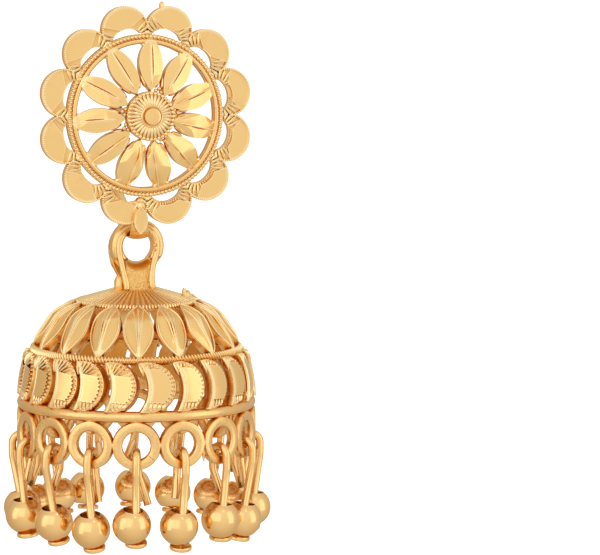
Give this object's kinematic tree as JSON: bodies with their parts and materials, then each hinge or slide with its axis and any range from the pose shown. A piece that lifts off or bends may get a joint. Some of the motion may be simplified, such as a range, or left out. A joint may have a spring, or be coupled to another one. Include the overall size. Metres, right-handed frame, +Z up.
{
  "type": "jhumka earring",
  "caption": "Post earring with an openwork flower rosette and a pierced bell that swings from it, fringed with ball beads on bent head pins.",
  "frame": {"origin": "centre of the rosette's back plane, where the post enters the ear lobe", "axes": "+Z up, the rosette faces -Y, the post runs along +Y into the ear, +X to the right seen from the front"},
  "size_m": [0.0244, 0.0243, 0.0483],
  "materials": {
    "rosette_gold": "yellow-gold plated casting, bright-cut flats with milgrain edges",
    "bell_gold": "yellow-gold plated openwork casting, bright-cut facets, warm orange in the recesses",
    "pin_gold": "drawn wire, yellow-gold plated",
    "bead_gold": "polished hollow ball, yellow-gold plated",
    "post_gold": "drawn and polished, yellow-gold plated"
  },
  "bodies": {
    "rosette": {"rosette": "rosette_gold", "ear_post": "post_gold"},
    "bell": {"bell": "bell_gold", "pin_01": "pin_gold", "pin_02": "pin_gold", "pin_03": "pin_gold", "pin_04": "pin_gold", "pin_05": "pin_gold", "pin_06": "pin_gold", "pin_07": "pin_gold", "pin_08": "pin_gold", "pin_09": "pin_gold", "pin_10": "pin_gold", "pin_11": "pin_gold", "pin_12": "pin_gold", "pin_13": "pin_gold", "pin_14": "pin_gold", "pin_15": "pin_gold", "pin_16": "pin_gold", "bead_01": "bead_gold", "bead_02": "bead_gold", "bead_03": "bead_gold", "bead_04": "bead_gold", "bead_05": "bead_gold", "bead_06": "bead_gold", "bead_07": "bead_gold", "bead_08": "bead_gold", "bead_09": "bead_gold", "bead_10": "bead_gold", "bead_11": "bead_gold", "bead_12": "bead_gold", "bead_13": "bead_gold", "bead_14": "bead_gold", "bead_15": "bead_gold", "bead_16": "bead_gold"}
  },
  "joints": [
    {"name": "bell_swing", "type": "hinge", "parent": "rosette", "child": "bell", "pos_m": [0, 0.0021, -0.012], "axis": [0, 1, 0], "range_deg": [-60, 60]}
  ]
}
